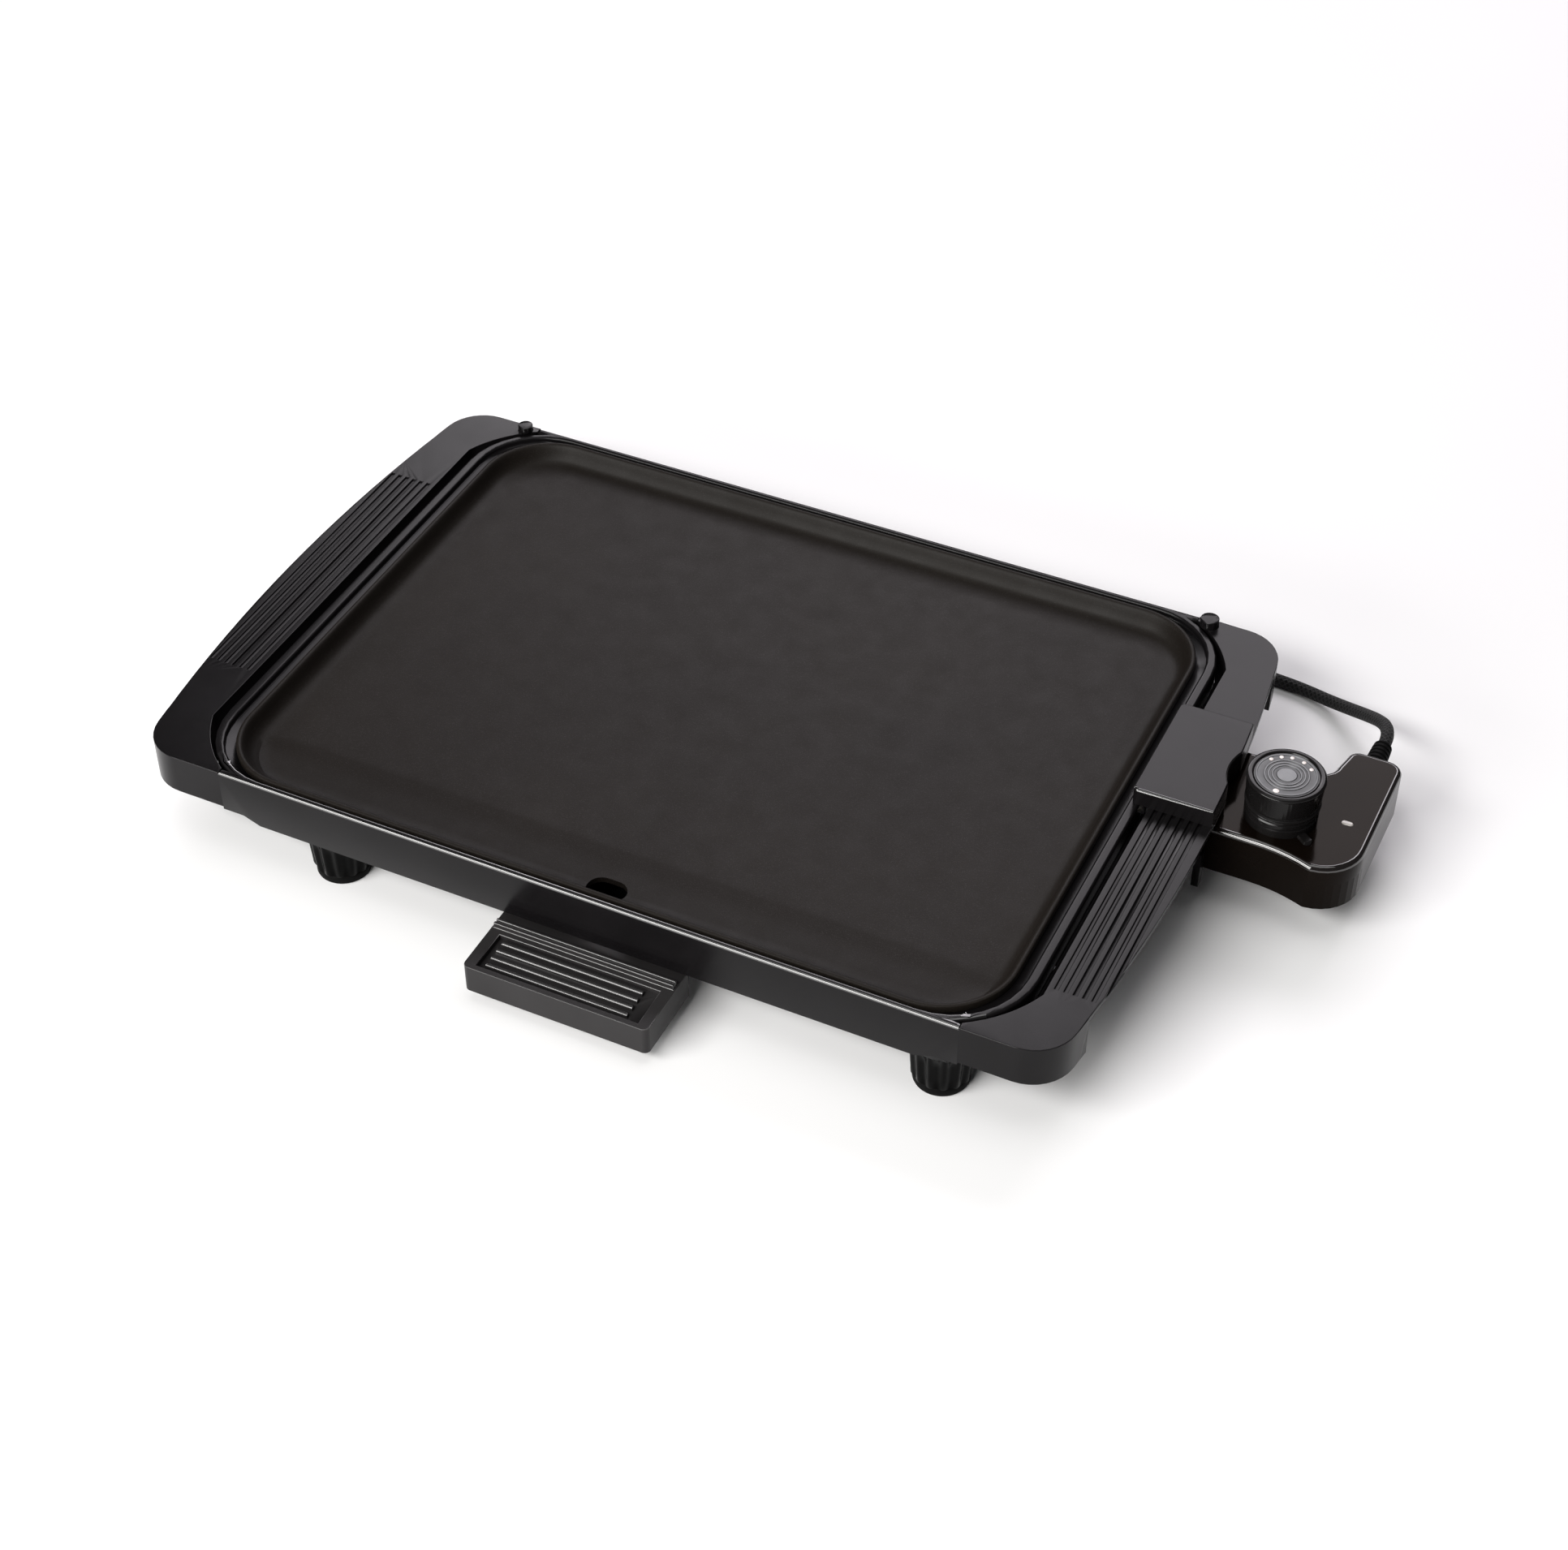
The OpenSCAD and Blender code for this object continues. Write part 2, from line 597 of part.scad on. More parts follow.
module contact_blades() color(brass) for (s = [-1, 1]) {
  box(251, 280, probe_y + s * pin_gap - 2.5, probe_y + s * pin_gap + 2.5, axis_z - 0.4, axis_z + 0.4);
  box(276, 280, probe_y + s * pin_gap - 2.5, probe_y + s * pin_gap + 2.5, axis_z - 3, axis_z - 0.4);
}

// leads from the cord to the two contacts, run side by side without crossing
module internal_wires() color(rubber) for (s = [-1, 1]) {
  x = lobe_x - 2.5 * s;
  tube([[x, 95, axis_z - 1], [x, 84, axis_z - 3], [x - 2, 74, axis_z - 6],
        [292 - 3 * s, probe_y + s * pin_gap + 8, axis_z - 6],
        [288.5, probe_y + s * pin_gap, axis_z - 5]], 1.3, 8);
}

module indicator_lamp() color("orange") rod_z(axis_z - 6, axis_z + 3, lamp_x, lamp_y, 2.6);

module lamp_lens() color("white")
  slab(rounded(5.8, 3.2, 1.55, lamp_x, lamp_y), probe_top - 5, probe_top + 0.2);

module case_screws() color(steel) for (p = case_screw_at)
  screw(p[0], p[1], probe_z + 0.3, 2.8, 1.5, 1.4, 18);

module knob_collar() color(gloss_black) difference() {
  union() {
    rod_z(probe_top, probe_top + collar_h, knob_x, knob_y, knob_d / 2 - 1);
    // index nub that the dial is read against
    translate([knob_x, knob_y, probe_top]) rotate([0, 0, -39]) box(17, knob_d / 2 + 6, -2.6, 2.6, 0.2, 1.8);
  }
  rod_z(probe_top - eps, probe_top + collar_h - 2, knob_x, knob_y, knob_d / 2 - 3);
  rod_z(probe_top, probe_top + collar_h + eps, knob_x, knob_y, 4);
}

module strain_relief() color(rubber) {
  rod_y(lobe_y - 5.4, lobe_y - case_t - 0.2, lobe_x, axis_z, 6.4);
  rod_y(lobe_y - case_t - 0.2, lobe_y + 0.3, lobe_x, axis_z, 4.8);
  translate([lobe_x, lobe_y + 0.3, axis_z]) rotate([-90, 0, 0])
    cylinder(h = relief_l - 0.3, r1 = 5.7, r2 = 4.7);
}

module power_cord() color(rubber) {
  tube(cord_lead, cord_r);
  tube(cord_tail, cord_r);
}

module cord_coil() color(rubber) translate([coil_x, coil_y, 0]) rotate_extrude()
  polygon(concat(
    arc(coil_r[0], cord_r + 0.1, cord_r, 180, 270, 4), arc(coil_r[1], cord_r + 0.1, cord_r, 270, 360, 4),
    arc(coil_r[1], coil_h - cord_r, cord_r, 0, 90, 4), arc(coil_r[0], coil_h - cord_r, cord_r, 90, 180, 4)));

module plug_body() color(rubber) {
  translate([plug_x, plug_y + 6, plug_z]) rotate([90, 0, 0]) cylinder(h = 12, r1 = 4.4, r2 = 7);
  box(plug_x - 13, plug_x + 13, plug_y - 34, plug_y - 6, plug_z - 11.7, plug_z + 11.7);
}

module plug_pins() color(brass) {
  face = plug_y - 34;
  for (s = [-1, 1])
    box(plug_x + s * 6.35 - 0.75, plug_x + s * 6.35 + 0.75, face - 16, face, plug_z, plug_z + 6.3);
  rod_y(face - 18, face, plug_x, plug_z - 5.9, 2.4);
}

// ---------------------------------------------------------------- knob

module knob() color(gloss_black) difference() {
  rod_z(knob_z, knob_z + knob_h, knob_x, knob_y, knob_d / 2);
  rod_z(knob_z + knob_h - 0.8, knob_z + knob_h + eps, knob_x, knob_y, 15.6);
  rod_z(knob_z - eps, knob_z + 8, knob_x, knob_y, 2.98);
}

module dial_plate() color([0.45, 0.46, 0.46])
  rod_z(knob_z + knob_h - 0.8, knob_z + knob_h - 0.2, knob_x, knob_y, 15.4);

module knob_shaft() color(steel) rod_z(axis_z + 1.5, knob_z + 8, knob_x, knob_y, 2.95);

// ---------------------------------------------------------------- assembly

translate([-mid_x, -mid_y, 0]) {
  base_frame();
  left_handle();
  right_handle();
  terminal_cover();
  griddle_plate();
  heating_element();
  terminal_pins();
  terminal_insulators();
  terminal_bracket();
  heat_reflector();
  tray_rail_left();
  tray_rail_right();
  leg_front_left();
  leg_front_right();
  leg_rear_left();
  leg_rear_right();
  foot_pad_front_left();
  foot_pad_front_right();
  foot_pad_rear_left();
  foot_pad_rear_right();
  leg_screws();
  plate_screws();
  handle_screws();
  rail_screws();
  drip_tray();
  tray_handle();
  probe_upper_case();
  probe_lower_case();
  sensor_rod();
  contact_sleeves();
  thermostat_base();
  bimetal_blade();
  contact_blades();
  internal_wires();
  indicator_lamp();
  lamp_lens();
  case_screws();
  knob_collar();
  strain_relief();
  power_cord();
  cord_coil();
  plug_body();
  plug_pins();
  knob();
  dial_plate();
  knob_shaft();
}
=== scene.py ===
"""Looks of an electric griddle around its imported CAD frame: a coated plate in a moulded base with
grooved handles, a glossy plug-in control with a ringed dial, a ribbed tray handle and a braided cord."""

import math

import bmesh
import bpy
from mathutils import Matrix, Vector


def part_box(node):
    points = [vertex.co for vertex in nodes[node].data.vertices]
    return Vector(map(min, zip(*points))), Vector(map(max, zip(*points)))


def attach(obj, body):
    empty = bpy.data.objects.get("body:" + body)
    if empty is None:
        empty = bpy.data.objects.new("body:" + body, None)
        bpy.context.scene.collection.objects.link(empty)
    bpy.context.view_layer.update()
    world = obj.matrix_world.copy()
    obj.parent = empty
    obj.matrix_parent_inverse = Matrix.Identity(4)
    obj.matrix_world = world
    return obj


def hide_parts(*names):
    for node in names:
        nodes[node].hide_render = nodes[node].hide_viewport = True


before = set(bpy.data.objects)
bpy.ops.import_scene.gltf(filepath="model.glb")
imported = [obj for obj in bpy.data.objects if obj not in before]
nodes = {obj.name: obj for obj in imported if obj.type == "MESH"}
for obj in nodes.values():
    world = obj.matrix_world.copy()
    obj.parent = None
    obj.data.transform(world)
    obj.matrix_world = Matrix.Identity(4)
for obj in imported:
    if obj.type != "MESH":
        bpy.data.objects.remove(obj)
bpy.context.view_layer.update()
scene = bpy.context.scene
MM = 0.001


def mid(node):
    """Centre of a CAD node's box, in millimetres."""
    low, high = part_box(node)
    return (low + high) / 2 / MM


def span(node):
    """Lowest and highest corner of a CAD node, in millimetres."""
    low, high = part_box(node)
    return low / MM, high / MM


PLATE = mid("griddle_plate")
KNOB_AT = mid("knob")
LENS_AT = mid("lamp_lens")


def moved(points):
    """Points measured from the plate's centre, moved to the shared frame."""
    return [(x + PLATE.x, y + PLATE.y, z) for x, y, z in points]


# ------------------------------------------------------------------------------------ camera

AZIMUTH, ELEVATION = math.radians(25.556), math.radians(42.032)
CAMERA_AT = (0.44631, -0.91851, 0.947)
back = Vector(
    (
        math.sin(AZIMUTH) * math.cos(ELEVATION),
        -math.cos(AZIMUTH) * math.cos(ELEVATION),
        math.sin(ELEVATION),
    )
)
across = Vector((math.cos(AZIMUTH), math.sin(AZIMUTH), 0))
upward = back.cross(across)
camera_data = bpy.data.cameras.new("camera")
camera_data.lens = 64.07
camera_data.sensor_width = 36
camera_data.clip_start = 0.05
camera = bpy.data.objects.new("camera", camera_data)
scene.collection.objects.link(camera)
axes = Matrix((across, upward, back)).transposed().to_4x4()
camera.matrix_world = Matrix.Translation(CAMERA_AT) @ axes
scene.camera = camera

# ------------------------------------------------------------------------------------ mesh help

WELD = 2e-6  # points of a CAD mesh this near to each other are one, in metres
FLAT = math.radians(0.3)  # faces that meet at less than this are one flat face
SHARP = math.radians(40)  # edges that turn by at least this can be rounded


def new_object(name, mesh, body, node_names, material, smooth=30):
    """Puts a finished mesh in the scene as a piece that rides on a body and stands for CAD nodes."""
    piece = bpy.data.objects.new(name, mesh)
    scene.collection.objects.link(piece)
    mesh.shade_smooth()
    mesh.set_sharp_from_angle(angle=math.radians(smooth))
    mesh.materials.append(material)
    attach(piece, body)
    if node_names:
        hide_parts(*node_names)
    return piece


def weighted(piece):
    """Face normals weigh on the shading by area, so flat faces stay flat beside rounded edges."""
    modifier = piece.modifiers.new("weighted", "WEIGHTED_NORMAL")
    modifier.keep_sharp = True
    modifier.weight = 100
    return piece


def mesh_of(bm, name):
    mesh = bpy.data.meshes.new(name)
    bmesh.ops.recalc_face_normals(bm, faces=bm.faces)
    bm.to_mesh(mesh)
    bm.free()
    return mesh


def add_rings(bm, rings):
    """Skins a list of closed rings of points, given in millimetres, and closes both ends."""
    rows = [[bm.verts.new(Vector(p) * MM) for p in ring] for ring in rings]
    for a, b in zip(rows, rows[1:]):
        n = len(a)
        for i in range(n):
            bm.faces.new((a[i], a[(i + 1) % n], b[(i + 1) % n], b[i]))
    bm.faces.new(rows[0][::-1])
    bm.faces.new(rows[-1])


def circle(radius, z, cx, cy, count, wave=None):
    """Circle of points at height z, whose radius is multiplied by wave(angle) where one is given."""
    out = []
    for i in range(count):
        a = 2 * math.pi * i / count
        r = radius * (wave(a) if wave else 1)
        out.append((cx + r * math.cos(a), cy + r * math.sin(a), z))
    return out


def add_lathe(bm, profile, cx, cy, count=96, wave=None):
    """Turns (radius, height, share of the wave) points about a vertical axis; the share may be left out."""
    rings = []
    for radius, z, *share in profile:
        ripple = (lambda a, s=share[0]: 1 + s * wave(a)) if share else None
        rings.append(circle(radius, z, cx, cy, count, ripple))
    add_rings(bm, rings)


def rounded(half_l, half_w, r, z, cx=0.0, cy=0.0, steps=12):
    """Rounded rectangle of points at height z."""
    out = []
    for sx, sy, start in ((1, 1, 0), (-1, 1, 90), (-1, -1, 180), (1, -1, 270)):
        for i in range(steps + 1):
            a = math.radians(start + 90 * i / steps)
            out.append(
                (cx + sx * (half_l - r) + r * math.cos(a), cy + sy * (half_w - r) + r * math.sin(a), z)
            )
    return out


def from_cad(node):
    """A welded copy of a CAD node's mesh with its flat faces cut up afresh."""
    bm = bmesh.new()
    bm.from_mesh(nodes[node].data)
    for layer in list(bm.loops.layers.uv):
        bm.loops.layers.uv.remove(layer)
    bmesh.ops.remove_doubles(bm, verts=bm.verts, dist=WELD)
    bmesh.ops.dissolve_limit(
        bm, angle_limit=FLAT, verts=bm.verts, edges=bm.edges, use_dissolve_boundaries=False
    )
    bmesh.ops.triangulate(bm, faces=bm.faces, quad_method="BEAUTY", ngon_method="BEAUTY")
    return bm


def sharp_edges(bm, test):
    """Sharp edges whose middle, in millimetres, passes test(x, y, z)."""
    found = []
    for e in bm.edges:
        if len(e.link_faces) != 2 or e.calc_face_angle(0) < SHARP:
            continue
        if test(*((e.verts[0].co + e.verts[1].co) / 2 / MM)):
            found.append(e)
    return found


def round_edges(bm, test, width, segments, edge_slot):
    """Rounds the edges that pass the test; slot 0 gives the new faces the piece's own material and slot 1 its
    edge material, which on the frame, cover and case is a lighter copy: a painted highlight.
    """
    edges = sharp_edges(bm, test)
    if edges:
        bmesh.ops.bevel(
            bm,
            geom=edges,
            offset=width * MM,
            offset_type="OFFSET",
            segments=segments,
            profile=0.5,
            affect="EDGES",
            clamp_overlap=False,
            miter_outer="SHARP",
            miter_inner="SHARP",
            material=edge_slot,
        )


# ------------------------------------------------------------------------------------ materials


class Look:
    """A procedural material, built node by node round one Principled shader."""

    def __init__(self, name, values=()):
        self.material = bpy.data.materials.new(name)
        self.material.use_nodes = True
        self.tree = self.material.node_tree
        self.shader = self.tree.nodes["Principled BSDF"]
        for key, value in values:
            self.shader.inputs[key].default_value = value

    def node(self, kind, **settings):
        made = self.tree.nodes.new(kind)
        for key, value in settings.items():
            setattr(made, key, value)
        return made

    def link(self, a, b):
        self.tree.links.new(a, b)

    def place(self, scale):
        source = self.node("ShaderNodeTexCoord")
        mapping = self.node("ShaderNodeMapping")
        mapping.inputs["Scale"].default_value = scale
        self.link(source.outputs["Object"], mapping.inputs["Vector"])
        return mapping.outputs["Vector"]

    def noise(self, scale, detail=2.0, rough=0.5, stretch=(1, 1, 1)):
        made = self.node("ShaderNodeTexNoise")
        made.inputs["Scale"].default_value = scale
        made.inputs["Detail"].default_value = detail
        made.inputs["Roughness"].default_value = rough
        self.link(self.place(stretch), made.inputs["Vector"])
        return made.outputs["Fac"]

    def ramp(self, value, stops):
        made = self.node("ShaderNodeValToRGB")
        points = made.color_ramp.elements
        while len(points) < len(stops):
            points.new(0.5)
        for point, (where, colour) in zip(points, stops):
            point.position = where
            point.color = (*colour, 1) if isinstance(colour, tuple) else (colour, colour, colour, 1)
        self.link(value, made.inputs["Fac"])
        return made.outputs["Color"]

    def span(self, value, low, high):
        made = self.node("ShaderNodeMapRange")
        made.inputs["To Min"].default_value = low
        made.inputs["To Max"].default_value = high
        self.link(value, made.inputs["Value"])
        return made.outputs["Result"]

    def sum(self, a, b, operation="ADD"):
        made = self.node("ShaderNodeMath", operation=operation)
        self.link(a, made.inputs[0])
        if isinstance(b, (int, float)):
            made.inputs[1].default_value = b
        else:
            self.link(b, made.inputs[1])
        return made.outputs["Value"]

    def colour(self, value):
        self.link(value, self.shader.inputs["Base Color"])

    def roughness(self, value):
        self.link(value, self.shader.inputs["Roughness"])

    def bump(self, value, distance, strength=1.0):
        made = self.node("ShaderNodeBump")
        made.inputs["Strength"].default_value = strength
        made.inputs["Distance"].default_value = distance
        self.link(value, made.inputs["Height"])
        self.link(made.outputs["Normal"], self.shader.inputs["Normal"])


def plastic(name, dark, light, rough, shine=0.38, grain=1100, grain_depth=0.00001, values=()):
    """Moulded plastic: faintly mottled colour, uneven polish and a fine spark-eroded grain."""
    look = Look(name, [("Specular IOR Level", shine), *values])
    look.colour(look.ramp(look.noise(30, 3, 0.5), [(0.3, dark), (0.75, light)]))
    polish = look.sum(look.noise(90, 3, 0.6), look.noise(14, 2), "MULTIPLY")
    look.roughness(look.span(polish, rough - 0.02, rough + 0.1))
    look.bump(look.noise(grain, 2, 0.5), grain_depth, 0.3)
    return look.material


def metal(name, dark, light, rough, stretch=(1, 1, 1)):
    """Bare metal with a fine grain, drawn out where stretch says so."""
    look = Look(name, [("Metallic", 1.0)])
    grain = look.noise(400, 3, 0.6, stretch)
    look.colour(look.ramp(grain, [(0.25, dark), (0.8, light)]))
    look.roughness(look.span(look.noise(60, 3), rough - 0.1, rough + 0.15))
    look.bump(grain, 0.00003, 0.3)
    return look.material


FINE = 500, 0.000004  # grain of a glossy moulding and its depth
frame_black = plastic("satin_black", (0.0040, 0.0036, 0.0039), (0.0060, 0.0054, 0.0059), 0.23, 0.14)
tray_black = plastic("tray_black", (0.016, 0.015, 0.0154), (0.022, 0.0205, 0.021), 0.42, 0.2)
WARM = [("Specular Tint", (1.0, 0.88, 0.77, 1))]
gloss_black = plastic("gloss_black", (0.0028, 0.0018, 0.0013), (0.0040, 0.0027, 0.0020), 0.1, 0.06, *FINE, WARM)
knob_black = plastic("knob_black", (0.005, 0.0046, 0.0046), (0.0075, 0.007, 0.007), 0.14, 0.2, *FINE)
# Edge materials for rounded edges: the first two are lighter than the plastics they copy, which is a painted
# highlight along the edge. They are also far shinier, so the edge catches the lamps as well. The tray's one
# keeps the tray's colour and is only shinier.
frame_edge_highlight = plastic("shiny_edge_painted_highlight", (0.0050, 0.0046, 0.0048), (0.0075, 0.0070, 0.0072), 0.12, 1.0)
gloss_edge_highlight = plastic("gloss_edge_highlight", (0.0050, 0.0038, 0.0032), (0.0070, 0.0052, 0.0044), 0.06, 1.0, *FINE)
tray_edge = plastic("tray_edge", (0.016, 0.015, 0.0154), (0.022, 0.0205, 0.021), 0.25, 0.9)
foot_black = plastic("foot_black", (0.001, 0.001, 0.001), (0.002, 0.002, 0.002), 0.2, 0.04)
rubber = plastic("rubber", (0.002, 0.002, 0.002), (0.004, 0.004, 0.0039), 0.6, 0.06, 900, 0.00006)
steel = metal("steel", (0.42, 0.42, 0.43), (0.66, 0.66, 0.67), 0.32, (1, 14, 1))
brass = metal("brass", (0.55, 0.38, 0.16), (0.78, 0.58, 0.28), 0.26)


def coating():
    """Matt non-stick coating with fine pale flecks and a faint orange-peel surface."""
    look = Look("coating", [("Specular IOR Level", 0.12)])
    tones = [(0.3, (0.0066, 0.0051, 0.0040)), (0.7, (0.0088, 0.0069, 0.0054))]
    base = look.ramp(look.noise(9, 3, 0.55), tones)
    flecks = look.ramp(look.noise(2600, 1, 0.5), [(0.60, 0.0), (0.72, 1.0)])
    mix = look.node("ShaderNodeMix", data_type="RGBA")
    look.link(look.sum(flecks, 0.35, "MULTIPLY"), mix.inputs["Factor"])
    look.link(base, mix.inputs["A"])
    mix.inputs["B"].default_value = (0.045, 0.042, 0.040, 1)
    look.colour(mix.outputs["Result"])
    look.roughness(look.span(look.noise(70, 4, 0.6), 0.42, 0.58))
    look.bump(look.sum(look.noise(520, 3, 0.6), look.noise(2400, 1), "ADD"), 0.00006, 0.5)
    return look.material


def braid():
    """Woven cover of the cord: two crossing sets of threads along the cord's own length."""
    look = Look("braid", [("Specular IOR Level", 0.25)])
    source = look.node("ShaderNodeTexCoord")
    split = look.node("ShaderNodeSeparateXYZ")
    look.link(source.outputs["UV"], split.inputs["Vector"])
    around = look.sum(split.outputs["X"], 2 * math.pi * 7, "MULTIPLY")
    along = look.sum(split.outputs["Y"], 2 * math.pi * 340, "MULTIPLY")
    one = look.sum(look.sum(along, around), 0, "SINE")
    other = look.sum(look.sum(along, around, "SUBTRACT"), 0, "SINE")
    weave = look.sum(one, other, "MAXIMUM")
    threads = look.noise(1500, 2)
    light = look.sum(look.span(weave, 0.2, 0.75), look.span(threads, -0.25, 0.35))
    tones = [(0.15, (0.001, 0.001, 0.0011)), (0.6, (0.004, 0.004, 0.0042)), (0.95, (0.035, 0.035, 0.035))]
    look.colour(look.ramp(light, tones))
    look.roughness(look.span(threads, 0.5, 0.8))
    look.bump(weave, 0.00025, 0.8)
    return look.material


def dial_paint():
    """Spun dial: pale rings and hub on a darker ground, set by the distance from the knob's axis."""
    look = Look("dial_paint", [("Metallic", 0.5)])
    source, shift = look.node("ShaderNodeTexCoord"), look.node("ShaderNodeVectorMath", operation="SUBTRACT")
    look.link(source.outputs["Object"], shift.inputs[0])
    shift.inputs[1].default_value = (KNOB_AT.x * MM, KNOB_AT.y * MM, 0)
    split = look.node("ShaderNodeSeparateXYZ")
    look.link(shift.outputs["Vector"], split.inputs["Vector"])
    x, y = (look.sum(split.outputs[k], split.outputs[k], "MULTIPLY") for k in "XY")
    reach = look.sum(look.sum(look.sum(x, y), 0.5, "POWER"), 1 / 0.016, "MULTIPLY")
    stops = [  # radius in millimetres, lightness
        (0.0, 0.30), (4.4, 0.27), (5.2, 0.09), (6.3, 0.12), (6.8, 0.27), (7.3, 0.10), (8.1, 0.13), (8.6, 0.30),
        (9.1, 0.09), (9.9, 0.10), (10.4, 0.27), (10.9, 0.09), (13.4, 0.14), (14.1, 0.25), (14.7, 0.08),
    ]
    look.colour(look.ramp(reach, [(r / 16, (v * 0.39, v * 0.404, v * 0.411)) for r, v in stops]))
    look.roughness(look.span(look.noise(300, 2), 0.28, 0.42))
    look.bump(look.noise(2200, 2), 0.00001, 0.3)
    return look.material


def pale_mark():
    """Pale print of the dial's dots."""
    look = Look("pale_mark")
    look.colour(look.ramp(look.noise(900, 2), [(0.3, (0.66, 0.58, 0.56)), (0.8, (0.9, 0.86, 0.84))]))
    look.roughness(look.span(look.noise(500, 2), 0.3, 0.5))
    return look.material


def lamp_window():
    """Milky, half clear lamp window."""
    look = Look("lamp_window", [("Transmission Weight", 0.35), ("IOR", 1.49), ("Coat Weight", 0.4)])
    look.colour(look.ramp(look.noise(600, 2), [(0.3, (0.42, 0.39, 0.36)), (0.8, (0.58, 0.55, 0.52))]))
    look.roughness(look.span(look.noise(800, 2), 0.12, 0.25))
    return look.material


def ceramic():
    """Off-white unglazed ceramic."""
    look = Look("ceramic")
    look.colour(look.ramp(look.noise(220, 3), [(0.3, (0.62, 0.58, 0.50)), (0.75, (0.78, 0.75, 0.68))]))
    look.roughness(look.span(look.noise(300, 2), 0.45, 0.7))
    look.bump(look.noise(900, 2), 0.00004, 0.4)
    return look.material


plate_coating, cord_braid, dial_grey = coating(), braid(), dial_paint()
mark_white, lens_glass, white_ceramic = pale_mark(), lamp_window(), ceramic()

# ------------------------------------------------------------------------------------ cord

CORD_D = 6.6
CORD_STEP = 3.0
COIL = (30.0 + PLATE.x, 163.0 + PLATE.y)
LEAD = moved([  # from the control down to the table and along behind the griddle, as in the part's source
    (302, 121, 36), (302, 126, 36), (301.3, 131.5, 35.4), (299.6, 137.5, 33.8), (296.6, 144, 31),
    (292.4, 150.5, 27), (287.3, 157, 22.3), (281.5, 163.5, 17.4), (275, 169.7, 12.7), (267.5, 175.4, 8.6),
    (259, 180.3, 5.5), (249.5, 184, 3.9), (239, 186.2, 3.4), (225, 187.5, 3.4), (205, 190, 3.4),
    (180, 193.5, 3.4), (150, 197.5, 3.4), (120, 200.5, 3.4), (90, 202.3, 3.4), (60, 203.2, 3.4),
    (30, 203.3, 3.4),
])
TAIL = moved([(-10.3, 163, 9.9), (-10.3, 150, 9.9), (-10.3, 138, 10.9), (-10.3, 128, 12), (-10.3, 119, 12)])


def coil_points():
    """Turns of the coil: outer then inner on the table, inner then outer on top of them."""
    inner, outer, low, high = 33.7, 40.3, 3.4, 9.9
    turns = [  # angle from the coil's rear, radius, height
        (0, outer, low), (330, outer, low), (390, inner, low), (690, inner, low),
        (750, inner, high), (1050, inner, high), (1110, outer, high), (1530, outer, high),
    ]
    points = []
    for (a0, r0, z0), (a1, r1, z1) in zip(turns, turns[1:]):
        count = max(3, round((a1 - a0) / 20))
        for i in range(1, count + 1):
            t = i / count
            s = t * t * (3 - 2 * t)
            a = math.radians(90 + a0 + (a1 - a0) * t)
            r, z = r0 + (r1 - r0) * s, z0 + (z1 - z0) * s
            points.append((COIL[0] + r * math.cos(a), COIL[1] + r * math.sin(a), z))
    return points


def resample(points, step):
    """Evenly spaced points on a smooth curve through the given ones, in millimetres."""
    p = [Vector(q) for q in points]
    p = [2 * p[0] - p[1], *p, 2 * p[-1] - p[-2]]
    dense = []
    for i in range(1, len(p) - 2):
        for k in range(10):
            t = k / 10
            a = -t * t * t + 2 * t * t - t
            b = 3 * t * t * t - 5 * t * t + 2
            c = -3 * t * t * t + 4 * t * t + t
            d = t * t * t - t * t
            dense.append(0.5 * (a * p[i - 1] + b * p[i] + c * p[i + 1] + d * p[i + 2]))
    dense.append(p[-2])
    total = sum((b - a).length for a, b in zip(dense, dense[1:]))
    count = round(total / step)
    out, walked, target = [dense[0]], 0.0, total / count
    for a, b in zip(dense, dense[1:]):
        length = (b - a).length
        while length > 1e-9 and walked + length >= target - 1e-9 and len(out) < count:
            out.append(a + (b - a) * ((target - walked) / length))
            target += total / count
        walked += length
    out.append(dense[-1])
    return out, total


cord_line, cord_length = resample([*LEAD, *coil_points(), *TAIL[1:]], CORD_STEP)


def cord_mesh(line, radius, sides=14):
    """Round tube along the line, whose UVs run round it and, in metres, along it for the braid."""
    bm = bmesh.new()
    uv = bm.loops.layers.uv.new("UVMap")
    rings, normal, run = [], Vector((1, 0, 0)), [0.0]
    for i, p in enumerate(line):
        ahead = (line[min(i + 1, len(line) - 1)] - line[max(i - 1, 0)]).normalized()
        normal = (normal - ahead * normal.dot(ahead)).normalized()
        side = ahead.cross(normal)
        rings.append(
            [p + radius * (math.cos(a) * normal + math.sin(a) * side)
             for a in (2 * math.pi * k / sides for k in range(sides))]
        )
        if i:
            run.append(run[-1] + (p - line[i - 1]).length * MM)
    rows = [[bm.verts.new(q * MM) for q in ring] for ring in rings]
    for i, (a, b) in enumerate(zip(rows, rows[1:])):
        for k in range(sides):
            j = (k + 1) % sides
            face = bm.faces.new((a[k], a[j], b[j], b[k]))
            corners = ((k, i), (k + 1, i), (k + 1, i + 1), (k, i + 1))
            for loop, (u, v) in zip(face.loops, corners):
                loop[uv].uv = (u / sides, run[v])
    bm.faces.new(rows[0][::-1])
    bm.faces.new(rows[-1])
    return mesh_of(bm, "cord")


cord = new_object(
    "cord", cord_mesh(cord_line, CORD_D / 2), "probe", ["power_cord", "cord_coil"], cord_braid, 60
)


def along_y(bm, rings, cx, cz):
    """Rings of (half width, half height, y), rounded like a squircle, skinned along Y."""
    loops = []
    for half_x, half_z, y, corner in rings:
        loops.append([(x, y + PLATE.y, z) for x, z, _ in rounded(half_x, half_z, corner, 0, cx, cz, 6)])
    add_rings(bm, loops)


PLUG_X = TAIL[-1][0]
plug_low, plug_high = span("plug_body")


